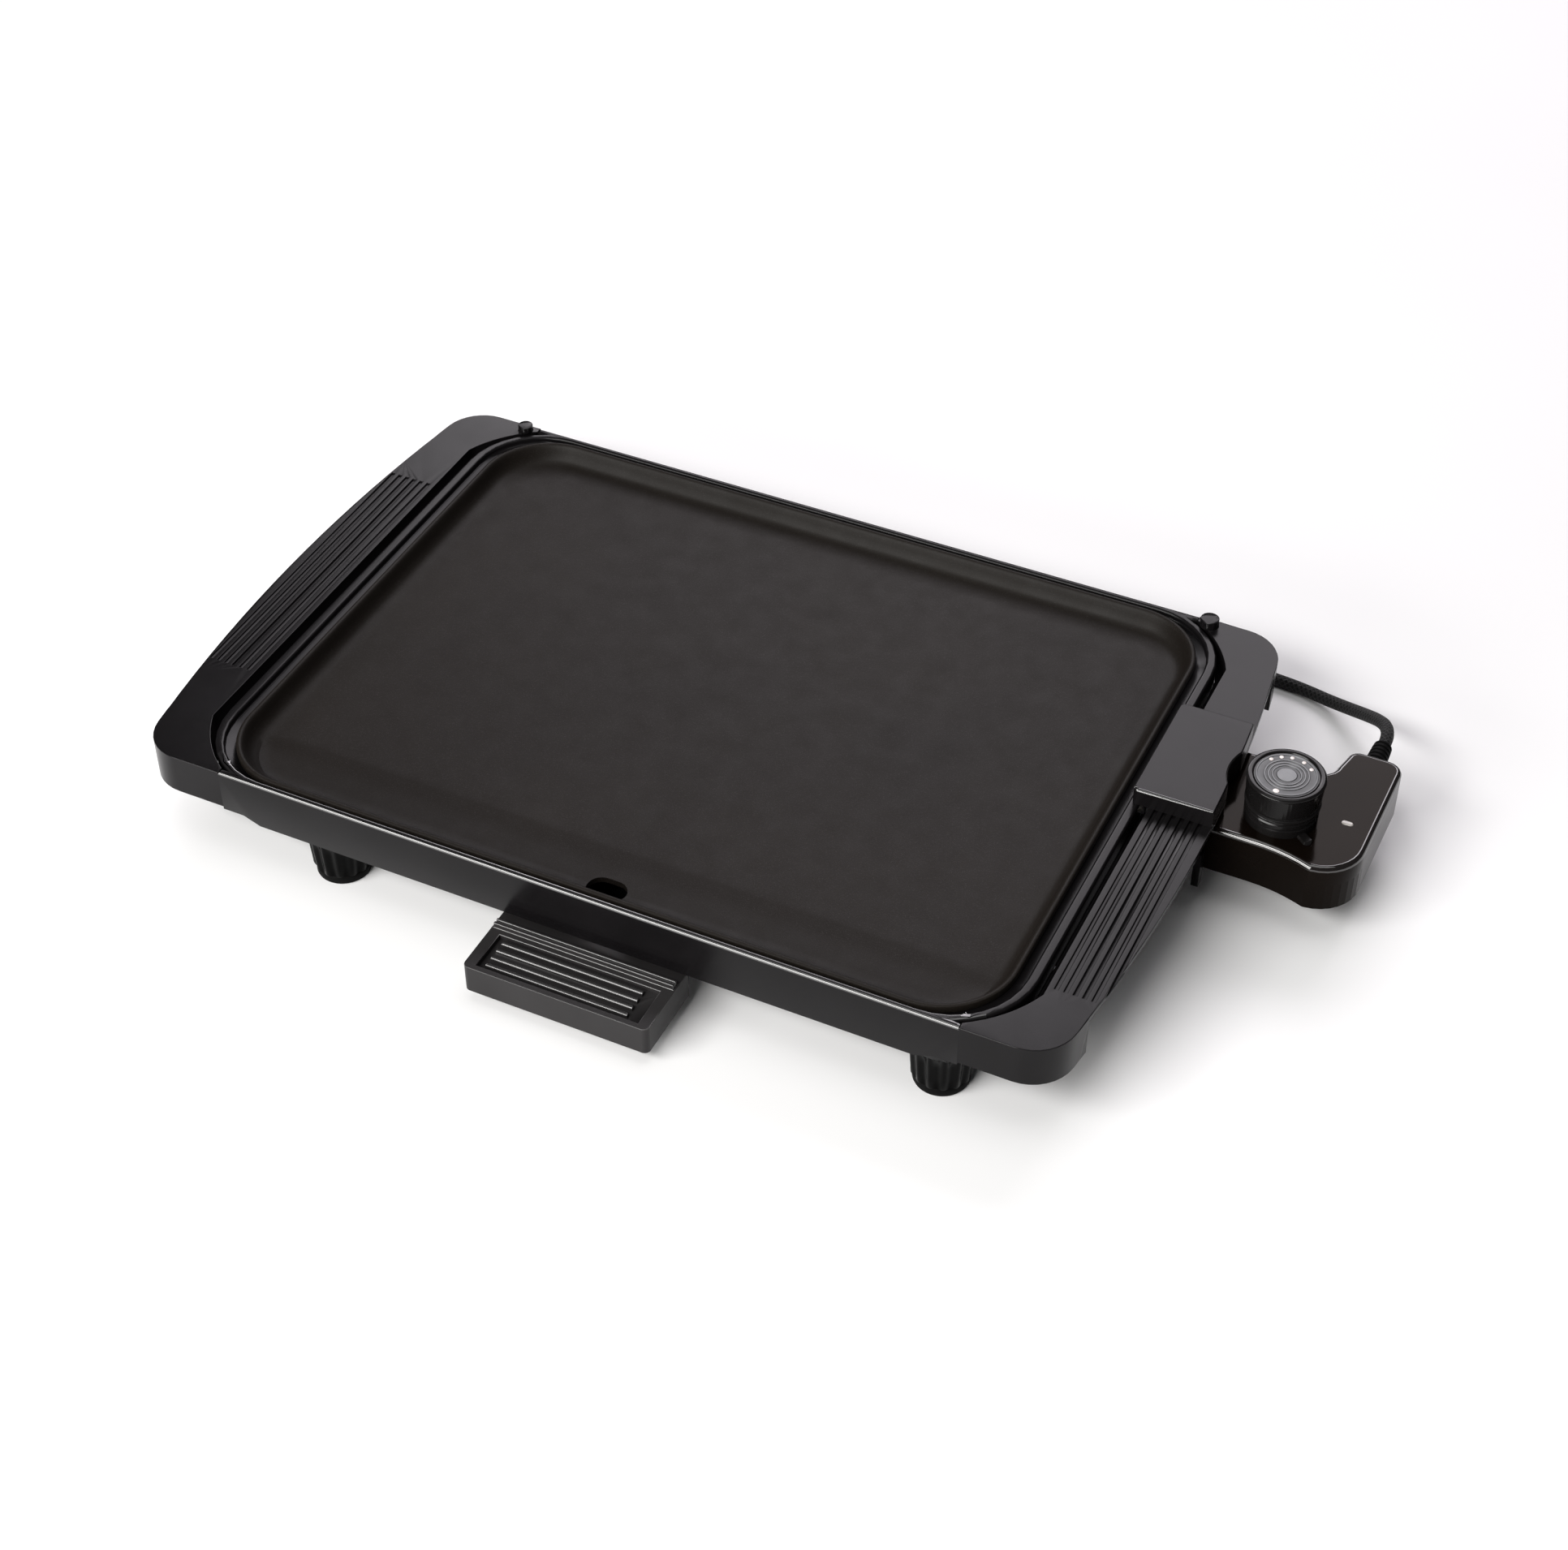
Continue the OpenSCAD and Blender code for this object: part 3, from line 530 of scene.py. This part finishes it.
def plug_mesh():
    """Moulded plug with finger ribs round its waist and a stepped neck on the cord."""
    bm = bmesh.new()
    hx, hz = (plug_high.x - plug_low.x) / 2, (plug_high.z - plug_low.z) / 2
    cz = (plug_high.z + plug_low.z) / 2
    rings = [(hx - 2.2, hz - 2.2, 79.2, 6.5), (hx - 0.8, hz - 0.8, 79.6, 6.5), (hx - 0.1, hz - 0.1, 81, 6.5)]
    rings += [(hx - 0.1, hz - 0.1, 86, 6.5)]
    for k in range(4):  # finger ribs round the waist
        y = 87.5 + 3.6 * k
        rings += [(hx - 1.5, hz - 1.5, y, 6), (hx - 1.5, hz - 1.5, y + 1.1, 6),
                  (hx - 0.5, hz - 0.5, y + 1.6, 6), (hx - 0.5, hz - 0.5, y + 3.0, 6)]
    rings += [(hx - 1.6, hz - 1.6, 103.4, 6), (hx - 4.5, hz - 3.5, 105.8, 5), (5.6, 5.6, 107.2, 5.4)]
    for k in range(3):
        y = 107.8 + 3.6 * k
        r = 5.5 - 0.45 * k
        n = r - 0.9
        rings += [(r, r, y, r * 0.98), (r, r, y + 1.7, r * 0.98)]
        rings += [(n, n, y + 2.1, n * 0.98), (n, n, y + 3.1, n * 0.98)]
    rings += [(3.9, 3.9, 118.6, 3.8), (3.45, 3.45, 119, 3.4)]
    along_y(bm, rings, PLUG_X, cz)
    return mesh_of(bm, "plug")


plug = new_object("plug", plug_mesh(), "probe", ["plug_body"], rubber, 38)


def relief_mesh():
    """Tapered strain relief with staggered slits, on the cord's first straight stretch."""
    low, high = span("strain_relief")
    cx, cz = LEAD[0][0], LEAD[0][2]
    bm = bmesh.new()
    face = high.y - 19.7  # the case's rear face
    flange = high.x - cx - 0.1
    rings = [(flange - 0.1, low.y), (flange, low.y + 0.4), (flange, face - 2.7), (4.7, face - 2.5)]
    rings += [(4.7, face), (5.65, face + 0.1)]
    count = 6
    start, end = face + 0.8, high.y - 1.0
    pitch = (end - start) / count
    for k in range(count):
        y = start + k * pitch
        r = 5.6 - 0.85 * k / count
        rings += [(r, y), (r - 0.06, y + pitch * 0.52)]
        rings += [(r - 0.8, y + pitch * 0.58), (r - 0.85, y + pitch * 0.92)]
    rings += [(4.7, end), (4.65, high.y - 0.3), (4.1, high.y)]
    loops = []
    for r, y in rings:
        loops.append([(x, y, z) for x, z, _ in circle(r, 0, cx, cz, 32)])
    add_rings(bm, loops)
    return mesh_of(bm, "strain_relief")


relief = new_object("relief", relief_mesh(), "probe", ["strain_relief"], rubber, 35)

# ------------------------------------------------------------------------------------ plate

rim_low, rim_high = span("griddle_plate")
HALF_L, HALF_W, TOP = (rim_high.x - rim_low.x) / 2, (rim_high.y - rim_low.y) / 2, rim_high.z
RIM_R, FLOOR = 38.0, TOP - 10
GUTTER_REAR, GUTTER_FRONT = -112, -146
DRAIN = (8.0 + PLATE.x, -138.75 + PLATE.y)


def plate_mesh():
    """Rolled rim, curved well wall and a floor whose front dips into a shallow gutter."""
    bm = bmesh.new()
    profile = [  # inward from the rim, height
        (8.0, FLOOR - 3.1), (4.2, FLOOR - 3.0), (4.0, TOP - 4.0), (0.3, TOP - 4.0), (0, TOP - 3.7),
        (0, TOP - 1.0), (0.25, TOP - 0.45), (0.8, TOP - 0.1), (1.5, TOP), (2.2, TOP - 0.25), (2.9, TOP - 0.95),
        (3.5, TOP - 2.1), (4.2, TOP - 3.9), (5.0, TOP - 5.8), (6.1, TOP - 7.5), (7.6, TOP - 8.8),
        (9.6, TOP - 9.6), (12.2, TOP - 9.92), (15.0, TOP - 10),
    ]
    loops = [rounded(HALF_L - d, HALF_W - d, max(RIM_R - d * 0.9, 6), z, steps=16) for d, z in profile]
    inner_l, inner_w, inner_r = HALF_L - 15, HALF_W - 15, RIM_R - 13.5
    for d in (3, 7, 12, 18, 24, 26, 28, 34):  # towards the middle
        loops.append(rounded(inner_l - d, inner_w - d, max(inner_r - d * 0.8, 4), FLOOR, steps=16))
    add_rings(bm, loops)
    for v in bm.verts:
        y = v.co.y / MM
        if abs(v.co.z / MM - FLOOR) < 0.5 and y < GUTTER_REAR:
            t = min(1.0, (GUTTER_REAR - y) / 12)
            fade = min(1.0, max(0.0, (y - GUTTER_FRONT) / 8))
            v.co.z -= t * t * (3 - 2 * t) * fade * MM
    bmesh.ops.translate(bm, verts=bm.verts, vec=Vector((PLATE.x, PLATE.y, 0)) * MM)
    return mesh_of(bm, "plate")


def cut(piece, cutter_mesh):
    """Takes the cutter's space out of a piece."""
    cutter = bpy.data.objects.new("cutter", cutter_mesh)
    scene.collection.objects.link(cutter)
    modifier = piece.modifiers.new("cut", "BOOLEAN")
    modifier.operation = "DIFFERENCE"
    modifier.solver = "EXACT"
    modifier.object = cutter
    made = bpy.data.meshes.new_from_object(piece.evaluated_get(bpy.context.evaluated_depsgraph_get()))
    piece.modifiers.clear()
    piece.data = made
    bpy.data.objects.remove(cutter)


def drain_cutter():
    """The space of the drain slot, past both faces of the floor."""
    bm = bmesh.new()
    add_rings(bm, [rounded(10, 7.25, 7.1, z, *DRAIN, steps=10) for z in (FLOOR - 8, FLOOR + 2)])
    return mesh_of(bm, "drain_cutter")


plate = new_object("cooking_plate", plate_mesh(), "base", ["griddle_plate"], plate_coating, 28)
cut(plate, drain_cutter())


def underside():
    """The cast underside with its element tracks, from the CAD node below the plate's floor."""
    bm = from_cad("griddle_plate")
    level = (FLOOR - 3.05) * MM
    geom = list(bm.verts) + list(bm.edges) + list(bm.faces)
    bmesh.ops.bisect_plane(bm, geom=geom, plane_co=(0, 0, level), plane_no=(0, 0, 1), clear_outer=True)
    return mesh_of(bm, "plate_underside")


new_object("plate_underside", underside(), "base", [], plate_coating)

# ------------------------------------------------------------------------------------ mouldings


def refined(name, node, body, material, rounds, edge=None):
    """A CAD node's own shape with some edges rounded: rounds holds (test, width, segments, material slot), and
    edge is the material of slot 1.
    """
    bm = from_cad(node)
    for test, width, segments, edge_slot in rounds:
        round_edges(bm, test, width, segments, edge_slot)
    piece = weighted(new_object(name, mesh_of(bm, name), body, [node], material, 32))
    if edge:
        piece.data.materials.append(edge)
    return piece


def top_edge(z, front=-1e9, rear=1e9):
    """A test for edges at height z between two places along Y."""
    return lambda x, y, at_z: abs(at_z - z) < 0.05 and front <= y <= rear


FRAME_TOP = span("base_frame")[1].z
RAIL_REAR = span("base_frame")[0].y + 12
# The front rail's top edge takes the edge material: its lighter colour is a painted highlight, its higher shine
# a real one.
refined(
    "frame", "base_frame", "base", frame_black,
    [(top_edge(FRAME_TOP, RAIL_REAR), 1.5, 4, 0), (top_edge(FRAME_TOP, rear=RAIL_REAR), 1.5, 4, 1)],
    frame_edge_highlight,
)
for side in ("left", "right"):
    refined(
        f"handle_{side}", f"{side}_handle", "base", frame_black,
        [(top_edge(FRAME_TOP), 0.4, 2, 0)],
    )
COVER_TOP = span("terminal_cover")[1].z
COVER_FRONT = span("terminal_cover")[0].y + 2
# The cover's front top edge takes the edge material: its lighter colour is a painted highlight, its higher
# shine a real one.
refined(
    "cover", "terminal_cover", "base", frame_black,
    [(top_edge(COVER_TOP, COVER_FRONT), 0.8, 3, 0), (top_edge(COVER_TOP, rear=COVER_FRONT), 1.4, 4, 1)],
    frame_edge_highlight,
)
CASE_TOP = span("probe_upper_case")[1].z


def case_outline(x, y, z):
    """The case's outer top edge, clear of the lamp's hole and the shaft's."""
    lamp, shaft = math.hypot(x - LENS_AT.x, y - LENS_AT.y), math.hypot(x - KNOB_AT.x, y - KNOB_AT.y)
    return abs(z - CASE_TOP) < 0.05 and lamp > 8 and shaft > 10


# The case's outer top edge takes the gloss edge material: its lighter colour is a painted highlight, its higher
# shine a real one.
refined(
    "case_upper", "probe_upper_case", "probe", gloss_black,
    [(case_outline, 2.5, 6, 1)], gloss_edge_highlight,
)
refined("case_lower", "probe_lower_case", "probe", gloss_black, [])
RIB_TOP = 22.7
refined(
    "tray_grip", "tray_handle", "tray", tray_black,
    [(top_edge(RIB_TOP), 1.0, 4, 1), (lambda x, y, z: z > 23, 0.4, 2, 1)], tray_edge,
)

# ------------------------------------------------------------------------------------ legs

FLUTES, FLUTE = 14, 0.085  # flutes round a leg, and their depth as a share of its radius
LEG = [
    (13.2, 5.4), (14.3, 5.5, 0.05), (14.6, 6.2, FLUTE), (14.9, 12, FLUTE), (15.5, 20, FLUTE),
    (15.9, 25.6, FLUTE), (15.95, 26.95),
]
PAD = [
    (9.0, 0.35), (9.4, 0.0), (12.3, 0.0), (13.1, 0.4), (13.4, 1.2), (13.4, 4.2), (13.1, 4.9),
    (12.6, 5.2), (12.5, 5.5),
]


def turned(name, profile, at, count, wave=None):
    """A turned mesh about the vertical axis through a point."""
    bm = bmesh.new()
    add_lathe(bm, profile, at.x, at.y, count, wave)
    return mesh_of(bm, name)


def flutes(a):
    return -0.5 - 0.5 * math.cos(FLUTES * a)


for row in ("front", "rear"):
    for side in ("left", "right"):
        leg, pad = f"leg_{row}_{side}", f"foot_pad_{row}_{side}"
        at = mid(leg)
        leg_mesh = turned("foot", LEG, at, 168, flutes)
        new_object(f"foot_{row}_{side}", leg_mesh, "base", [leg], foot_black, 50)
        new_object(f"pad_{row}_{side}", turned("pad", PAD, at, 72), "base", [pad], rubber, 40)

# ------------------------------------------------------------------------------------ knob

knob_low, knob_high = span("knob")
KNOB_R = (knob_high.x - knob_low.x) / 2
collar_low, collar_high = span("knob_collar")
NUB_ANGLE = math.radians(-39)


def knob_mesh():
    """Fluted grip over a thin foot ring, with a recessed top for the dial."""
    z0, z1, r = knob_low.z, knob_high.z, KNOB_R
    profile = [
        (3.2, z0), (r - 1.3, z0), (r - 0.9, z0 + 0.3), (r - 0.8, z0 + 1.4), (r - 1.3, z0 + 1.9),
        (r - 2.0, z0 + 2.2), (r - 2.0, z0 + 2.8), (r - 1.3, z0 + 3.3, 0.004), (r - 1.0, z0 + 4.2, 0.01),
        (r - 0.4, z1 - 2.6, 0.01), (r - 0.25, z1 - 1.8, 0.004), (r - 0.05, z1 - 1.3), (r - 0.1, z1 - 0.8),
        (r - 0.6, z1 - 0.25), (r - 1.3, z1), (r - 2.3, z1), (r - 2.9, z1 - 0.2), (r - 3.3, z1 - 0.8),
        (r - 3.4, z1 - 0.86), (3.2, z1 - 0.9),
    ]
    return turned("knob", profile, KNOB_AT, 180, lambda a: -0.5 - 0.5 * math.cos(60 * a))


new_object("knob_grip", knob_mesh(), "knob", ["knob"], knob_black, 35)


def dial_mesh():
    """Thin dial with raised rings round a flat hub."""
    z = knob_high.z - 0.8
    low, crest = z + 0.28, z + 0.55
    profile = [(0.05, z + 0.5), (4.6, z + 0.5), (5.0, low)]
    for r, half in ((6.8, 0.3), (8.6, 0.35), (10.4, 0.35), (14.2, 0.3)):
        profile += [(r - half - 0.2, low), (r - half, crest), (r + half, crest), (r + half + 0.2, low)]
    profile += [(15.3, z + 0.26), (15.3, z)]
    return turned("dial", profile[::-1], KNOB_AT, 96)


new_object("dial", dial_mesh(), "knob", ["dial_plate"], dial_grey, 25)


def dots_mesh():
    """Five setting dots round the dial and the larger off mark across from them."""
    bm = bmesh.new()
    z = knob_high.z - 0.6
    for angle, reach, r in [*((angle, 12.6, 1.0) for angle in (143, 119, 96, 68, 42)), (-95, 12.9, 1.5)]:
        a = math.radians(angle)
        x, y = KNOB_AT.x + reach * math.cos(a), KNOB_AT.y + reach * math.sin(a)
        add_lathe(bm, [(r, z), (r, z + 0.3), (r - 0.2, z + 0.42)], x, y, 24)
    return mesh_of(bm, "dots")


new_object("dial_dots", dots_mesh(), "knob", [], mark_white, 40)


def collar_mesh():
    """Fixed collar under the knob with the index nub that the dial is read against."""
    bm = bmesh.new()
    z0, z1, r = collar_low.z, collar_high.z, KNOB_R - 1
    profile = [
        (r - 0.3, z0), (r - 0.3, z0 + 4.0), (r - 1.0, z0 + 4.5), (r - 1.0, z0 + 5.1), (r - 0.2, z0 + 5.6),
        (r - 0.2, z1 - 0.6), (r - 0.8, z1), (3.4, z1),
    ]
    add_lathe(bm, profile, KNOB_AT.x, KNOB_AT.y, 120)
    c, d = math.cos(NUB_ANGLE), math.sin(NUB_ANGLE)
    rings = []
    for reach, half, z in ((r - 1, 2.5, 1.7), (r + 5, 2.5, 1.7), (r + 6.2, 1.5, 1.3), (r + 6.8, 0.5, 0.9)):
        rings.append([(KNOB_AT.x + c * reach - d * w, KNOB_AT.y + d * reach + c * w, z0 + h)
                      for w, h in ((half, 0.25), (-half, 0.25), (-half * 0.8, z), (half * 0.8, z))])
    add_rings(bm, rings)
    return mesh_of(bm, "collar")


new_object("collar", collar_mesh(), "probe", ["knob_collar"], knob_black, 35)


def lens_mesh():
    """Rounded lamp window, domed a little above the case."""
    bm = bmesh.new()
    low, high = span("lamp_lens")
    hx, hy = (high.x - low.x) / 2, (high.y - low.y) / 2
    rings = [(hx, hy, low.z), (hx, hy, high.z - 0.4)]
    rings += [(hx - 0.2, hy - 0.2, high.z - 0.15), (hx - 0.7, hy - 0.6, high.z)]
    add_rings(bm, [rounded(hx, hy, hy - 0.05, z, LENS_AT.x, LENS_AT.y, 8) for hx, hy, z in rings])
    return mesh_of(bm, "lens")


new_object("lens", lens_mesh(), "probe", ["lamp_lens"], lens_glass, 40)

# ------------------------------------------------------------------------------------ the other CAD nodes

LOOKS = [
    (steel, ["heating_element", "terminal_bracket", "heat_reflector", "tray_rail_left", "tray_rail_right"]),
    (steel, ["leg_screws", "plate_screws", "handle_screws", "rail_screws", "case_screws"]),
    (steel, ["sensor_rod", "bimetal_blade", "knob_shaft"]),
    (brass, ["terminal_pins", "contact_sleeves", "contact_blades", "plug_pins"]),
    (white_ceramic, ["terminal_insulators", "thermostat_base"]),
    (tray_black, ["drip_tray"]),
    (rubber, ["internal_wires"]),
    (lens_glass, ["indicator_lamp"]),
]
for material, names in LOOKS:
    for name in names:
        nodes[name].data.materials.clear()
        nodes[name].data.materials.append(material)

# ------------------------------------------------------------------------------------ studio

floor_mesh = bpy.data.meshes.new("floor")
bm = bmesh.new()
bmesh.ops.create_grid(bm, x_segments=1, y_segments=1, size=6)
bm.to_mesh(floor_mesh)
bm.free()
floor = bpy.data.objects.new("floor", floor_mesh)
scene.collection.objects.link(floor)
paper = Look("paper")
paper.colour(paper.ramp(paper.noise(3, 2), [(0.3, (0.86, 0.86, 0.865)), (0.7, (0.88, 0.88, 0.885))]))
paper.roughness(paper.span(paper.noise(200, 2), 0.75, 0.9))
floor.data.materials.append(paper.material)

world = bpy.data.worlds.new("studio")
scene.world = world
world.use_nodes = True
world.node_tree.nodes["Background"].inputs["Color"].default_value = (0.97, 0.96, 1.0, 1)
world.node_tree.nodes["Background"].inputs["Strength"].default_value = 0.08


def softbox(name, where, size, watts, colour):
    """Rectangular light that faces the middle of the table."""
    data = bpy.data.lights.new(name, "AREA")
    data.shape = "RECTANGLE"
    data.size, data.size_y = size
    data.energy = watts
    data.color = colour
    light = bpy.data.objects.new(name, data)
    scene.collection.objects.link(light)
    light.location = where
    light.rotation_euler = (-Vector(where)).to_track_quat("-Z", "Y").to_euler()


softbox("rear_box", (-0.35, 2.3, 2.0), (2.1, 1.5), 46, (1.0, 0.95, 1.0))
softbox("rear_left_box", (-1.75, 2.75, 2.0), (0.9, 0.9), 11.5, (1.0, 0.96, 1.0))
softbox("top_box", (0.1, -0.1, 2.2), (1.8, 1.4), 12, (1.0, 0.99, 0.98))
softbox("edge_strip", (-0.6, -1.75, 1.75), (2.0, 0.6), 60, (1.0, 0.99, 0.97))
softbox("front_box", (-0.75, -2.1, 0.6), (1.6, 0.9), 42, (1.0, 0.99, 0.97))
scene.view_settings.view_transform = "Standard"
